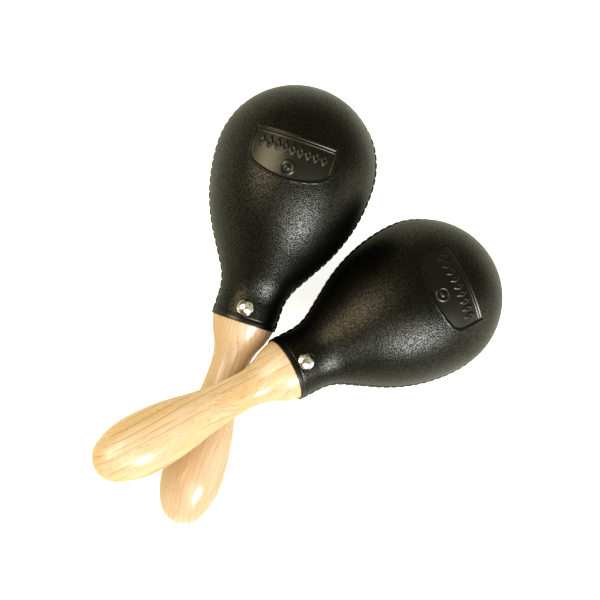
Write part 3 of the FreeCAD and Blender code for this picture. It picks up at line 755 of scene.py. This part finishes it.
def shell_plastic():
    """Black moulded plastic with a fine leather grain, smooth where the grain attribute is 0."""
    s = Shader("shell_plastic")
    at = s.place()
    grained = s.node("ShaderNodeAttribute", attribute_name="grain").outputs["Fac"]
    warp = s.node("ShaderNodeTexNoise", {"Vector": at, "Scale": 900.0, "Detail": 2.0}).outputs["Color"]
    bend = {0: warp, 1: (0.0007,) * 3, 2: at}
    bent = s.node("ShaderNodeVectorMath", bend, operation="MULTIPLY_ADD")
    pebble = s.node(
        "ShaderNodeTexVoronoi",
        {"Vector": bent.outputs["Vector"], "Scale": 1300.0, "Randomness": 1.0},
        feature="F1",
    ).outputs["Distance"]
    domes = s.maths("MULTIPLY", s.maths("MULTIPLY", pebble, pebble), -1.0)
    height = s.maths("MULTIPLY", domes, grained)
    broad = s.bump(s.noise(at, 45.0, 2.0), 0.0009, 0.12)
    normal = s.bump(height, 0.00011, 1.0, broad)
    cloud = s.noise(at, 30.0, 3.0)
    colour = s.mix(cloud, rgb(0.0026, 0.0026, 0.0018), rgb(0.0042, 0.0042, 0.0030))
    rough = s.maths("ADD", s.span(grained, 0, 1, 0.36, 0.34), s.span(cloud, 0.3, 0.7, -0.03, 0.03))
    # the grain dulls the sheen where the surface turns away, and most of all in its hollows
    facing = s.node("ShaderNodeLayerWeight", {"Blend": 0.5}).outputs["Facing"]
    hollow = s.maths("MULTIPLY", s.span(pebble, 0.30, 0.62), grained)
    sheen = s.maths("MULTIPLY", s.span(facing, 0.55, 1.0, 0.52, 0.41), s.span(hollow, 0, 1, 1.05, 0.45))
    return s.finish(
        Base_Color=colour,
        Roughness=rough,
        Normal=normal,
        Specular_IOR_Level=sheen,
        Specular_Tint=rgb(1.0, 0.97, 0.76),
    )


# The woods of the two handles: three colours, the thickness of a growth layer, how strongly the
# lines show, where the noise is taken from, the turn of the layers about the handle and a knot.
TIMBERS = {
    "left": dict(
        pale=rgb(0.61, 0.465, 0.295),
        deep=rgb(0.55, 0.37, 0.19),
        streak=rgb(0.42, 0.24, 0.11),
        pitch=2.4 * MM,
        streak_share=0.55,
        seed=0.31,
        turn=0.25,
    ),
    "right": dict(
        pale=rgb(0.66, 0.51, 0.32),
        deep=rgb(0.58, 0.39, 0.175),
        streak=rgb(0.40, 0.21, 0.07),
        pitch=4.5 * MM,
        streak_share=0.6,
        seed=0.11,
        turn=0.12,
        knot=(-3.0 * MM, 11.0 * MM, -32.0 * MM),
    ),
}
KNOT_REACH = 8.0 * MM
KNOT_BEND = 9.0 * MM


def wood(name, pale, deep, streak, pitch, streak_share, seed, turn, knot=None):
    """Lacquered turned wood. The growth layers lie across the handle and are cut through by its
    shape, so that their edges show as long lines, with short dark pores between them."""
    s = Shader(name)
    offset = s.node("ShaderNodeVectorMath", {0: s.place(), 1: (seed,) * 3}, operation="ADD")
    at = s.node(
        "ShaderNodeMapping", {"Vector": offset.outputs["Vector"], "Rotation": (0.0, 0.0, turn)}
    ).outputs["Vector"]

    def along(per_length, per_width, detail=3.0, rough=0.55):
        """Noise with its own number of waves per metre along the handle and across it."""
        stretched = s.node(
            "ShaderNodeVectorMath", {0: at, 1: (per_width, per_width, per_length)}, operation="MULTIPLY"
        )
        return s.noise(stretched.outputs["Vector"], 1.0, detail, rough)

    drift = s.maths("MULTIPLY", along(4.0, 30.0, 2.0, 0.5), 0.016)
    if knot:
        # the layers bend round the knot
        away = s.node("ShaderNodeVectorMath", {0: s.place(), 1: knot}, operation="SUBTRACT")
        away = {0: away.outputs["Vector"], 1: (1.0, 0.5, 0.45)}
        away = s.node("ShaderNodeVectorMath", away, operation="MULTIPLY")
        away = s.node("ShaderNodeVectorMath", {0: away.outputs["Vector"]}, operation="LENGTH")
        swirl = s.span(away.outputs["Value"], 0.0, KNOT_REACH, 1.0, 0.0)
        drift = s.maths("ADD", drift, s.maths("MULTIPLY", swirl, KNOT_BEND))
    across = s.maths("ADD", s.node("ShaderNodeSeparateXYZ", {"Vector": at}).outputs["X"], drift)
    phase = s.maths("FRACT", s.maths("DIVIDE", across, pitch))
    layer = s.maths("MULTIPLY", s.span(phase, 0.0, 0.85), s.span(phase, 1.0, 0.93))
    edge = s.maths("MULTIPLY", s.span(phase, 0.80, 0.90), s.span(phase, 1.0, 0.94))
    patchy = s.span(along(12.0, 150.0, 2.0, 0.5), 0.44, 0.56)
    tone = along(9.0, 45.0, 3.0)
    fibre = along(30.0, 1300.0, 3.0, 0.6)
    pores = s.span(along(150.0, 2200.0, 1.0, 0.5), 0.60, 0.68)
    pores = s.maths("MULTIPLY", pores, s.span(along(30.0, 250.0, 2.0), 0.42, 0.56))
    colour = s.mix(s.span(tone, 0.38, 0.62, 0.0, 0.8), pale, deep)
    if knot:
        colour = s.mix(s.maths("MULTIPLY", swirl, 0.4), colour, deep)
    colour = s.mix(s.maths("MULTIPLY", layer, 0.35), colour, deep)
    colour = s.mix(s.span(fibre, 0.40, 0.70, 0.0, 0.45), colour, deep)
    lines = s.maths("MULTIPLY", s.maths("MULTIPLY", edge, patchy), streak_share)
    colour = s.mix(lines, colour, streak)
    colour = s.mix(s.maths("MULTIPLY", pores, streak_share), colour, streak)
    smooth = s.bump(s.noise(s.place(), 60.0, 2.0), 0.0003, 0.2)
    normal = s.bump(pores, 0.00004, -0.4, smooth)
    return s.finish(
        Base_Color=colour,
        Roughness=s.span(tone, 0.2, 0.8, 0.45, 0.55),
        Specular_IOR_Level=0.2,
        Normal=normal,
        Coat_Weight=0.38,
        Coat_Roughness=0.20,
        Coat_IOR=1.5,
        Coat_Normal=smooth,
    )


def nickel():
    """Polished nickel plate with faint scratches, and darker spots painted into its colour as a stand-in
    for dark reflections.
    """
    s = Shader("nickel")
    scuff = s.noise(s.place((300, 2500, 300)), 1.0, 4.0, 0.7)
    painted_reflection_spots = s.noise(s.place(), 350.0, 3.0)
    # painted reflection: random darker spots in the plate's colour stand in for dark things reflected in
    # the tack
    colour = s.mix(s.span(painted_reflection_spots, 0.46, 0.60), rgb(0.88, 0.83, 0.82), rgb(0.34, 0.28, 0.24))
    return s.finish(
        Base_Color=colour,
        Metallic=1.0,
        Roughness=s.span(scuff, 0.3, 0.7, 0.13, 0.25),
        Normal=s.bump(scuff, 0.00003, 0.3),
    )


def steel_shot():
    """Dull steel balls, with a fine worn surface."""
    s = Shader("steel_shot")
    at = s.node("ShaderNodeTexCoord").outputs["Object"]
    worn = s.noise(at, 900.0, 4.0, 0.65)
    colour = s.mix(worn, rgb(0.42, 0.42, 0.43), rgb(0.66, 0.65, 0.63))
    return s.finish(
        Base_Color=colour,
        Metallic=1.0,
        Roughness=s.span(worn, 0.3, 0.7, 0.3, 0.5),
        Normal=s.bump(worn, 0.00004, 0.4),
    )


# ---- stage --------------------------------------------------------------------------------

def floor(middle, low):
    """A plain white table top. To the camera it glows a little, so that shadows on it stay pale."""
    mesh = bpy.data.meshes.new("table_top")
    corners = [(-1, -1), (1, -1), (1, 1), (-1, 1)]
    places = [(middle.x + x * TABLE_HALF, middle.y + y * TABLE_HALF, low) for x, y in corners]
    mesh.from_pydata(places, [], [(0, 1, 2, 3)])
    piece = bpy.data.objects.new("table_top", mesh)
    bpy.context.scene.collection.objects.link(piece)
    s = Shader("white_table")
    seen = s.node("ShaderNodeLightPath").outputs["Is Camera Ray"]
    s.finish(
        Base_Color=rgb(0.89, 0.90, 0.72),
        Roughness=0.9,
        Emission_Color=rgb(1.0, 1.0, 1.0),
        Emission_Strength=s.maths("MULTIPLY", seen, TABLE_GLOW),
    )
    mesh.materials.append(s.material)


def softbox(name, middle, direction, distance, size, power, colour):
    """A softbox that faces the middle of the object. It is two area lights in one place: the
    stronger one shows only as a sheen, and the weaker one only lights matt surfaces."""
    way = Vector(direction).normalized()
    for part, share in (("sheen", 1.0), ("matt", MATT_SHARE)):
        data = bpy.data.lights.new(f"{name}_{part}", "AREA")
        data.shape = "ELLIPSE"
        data.size, data.size_y = size
        data.energy = power * share
        data.color = colour
        lamp = bpy.data.objects.new(f"{name}_{part}", data)
        lamp.location = middle + way * distance
        lamp.rotation_euler = (-way).to_track_quat("-Z", "Y").to_euler()
        lamp.visible_diffuse = part == "matt"
        lamp.visible_glossy = part == "sheen"
        bpy.context.scene.collection.objects.link(lamp)


def world():
    """The white room, which is dimmer in a sheen than to the camera and to matt surfaces."""
    scene = bpy.context.scene
    scene.world = bpy.data.worlds.new("studio")
    scene.world.use_nodes = True
    tree = scene.world.node_tree
    tree.nodes.clear()
    out = tree.nodes.new("ShaderNodeOutputWorld")
    rays = tree.nodes.new("ShaderNodeLightPath")
    shade = None
    for ray, colour in (
        ("Is Glossy Ray", ROOM_SHEEN),
        ("Is Diffuse Ray", ROOM_MATT),
        ("Is Camera Ray", ROOM_SEEN),
    ):
        tent = tree.nodes.new("ShaderNodeBackground")
        tent.inputs["Color"].default_value = colour
        if shade is None:
            shade = tent
            continue
        pick = tree.nodes.new("ShaderNodeMixShader")
        tree.links.new(rays.outputs[ray], pick.inputs[0])
        tree.links.new(shade.outputs[0], pick.inputs[1])
        tree.links.new(tent.outputs[0], pick.inputs[2])
        shade = pick
    tree.links.new(shade.outputs[0], out.inputs["Surface"])


def camera(middle):
    """A camera high over the pair, turned so that the pair leans across the picture."""
    level_out = math.cos(CAMERA_ELEVATION)
    back = Vector(
        (
            math.sin(CAMERA_AZIMUTH) * level_out,
            -math.cos(CAMERA_AZIMUTH) * level_out,
            math.sin(CAMERA_ELEVATION),
        )
    )
    level = Vector((math.cos(CAMERA_AZIMUTH), math.sin(CAMERA_AZIMUTH), 0))
    upright = back.cross(level)
    right = level * math.cos(CAMERA_ROLL) + upright * math.sin(CAMERA_ROLL)
    up = back.cross(right)
    data = bpy.data.cameras.new("camera")
    data.sensor_width = 36.0
    data.lens = CAMERA_LENS
    eye = bpy.data.objects.new("camera", data)
    turn = Matrix((right, up, back)).transposed().to_4x4()
    eye.matrix_world = Matrix.Translation(middle + Vector(CAMERA_PLACE)) @ turn
    bpy.context.scene.collection.objects.link(eye)
    bpy.context.scene.camera = eye


# ---- the pair -----------------------------------------------------------------------------

def ride(piece, body, slot, *nodes):
    """Puts a piece on its body and hides the CAD nodes that it stands for. The slot is not used."""
    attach(piece, body)
    if nodes:
        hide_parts(*nodes)


def maraca(name, plastic, timber, plate, steel):
    """All the pieces of one maraca."""
    matrix = maraca_frame(name)
    body = f"{name}_maraca"
    for half, front in (("front", True), ("rear", False)):
        skin = half_skin(f"{name}_{half}_skin", front, matrix, plastic)
        ride(skin, body, "shell", f"{name}_{half}_shell")
    ride(welt(f"{name}_seam_welt", matrix, plastic), body, "shell")
    ride(neck_band(f"{name}_neck_band", matrix, plastic), body, "shell")
    outline, corners = handle_outline()
    handle = turned(outline, HANDLE_COLUMNS, f"{name}_handle_wood", matrix, timber, corners)
    ride(handle, body, f"{name}_wood", f"{name}_handle")
    for half, forwards in (("front", 1), ("rear", -1)):
        nail = tack(f"{name}_{half}_tack_nail", matrix, forwards, plate)
        ride(nail, body, "tack", f"{name}_{half}_tack")
    for layer in ("rolling", "thrown"):
        node = f"{name}_{layer}_shot"
        balls = shot(f"{name}_{layer}_balls", frame["nodes"][node], steel)
        ride(balls, node, "shot", node)


def main():
    middle = (cad_low + cad_high) / 2
    plastic, plate, steel = shell_plastic(), nickel(), steel_shot()
    for name in SIDES:
        maraca(name, plastic, wood(f"{name}_timber", **TIMBERS[name]), plate, steel)
    floor(middle, cad_low.z)
    world()
    for name, settings in SOFTBOXES.items():
        softbox(name, middle, *settings)
    camera(middle)
    bpy.context.scene.view_settings.view_transform = "Standard"
    bpy.context.scene.view_settings.look = "High Contrast"


main()
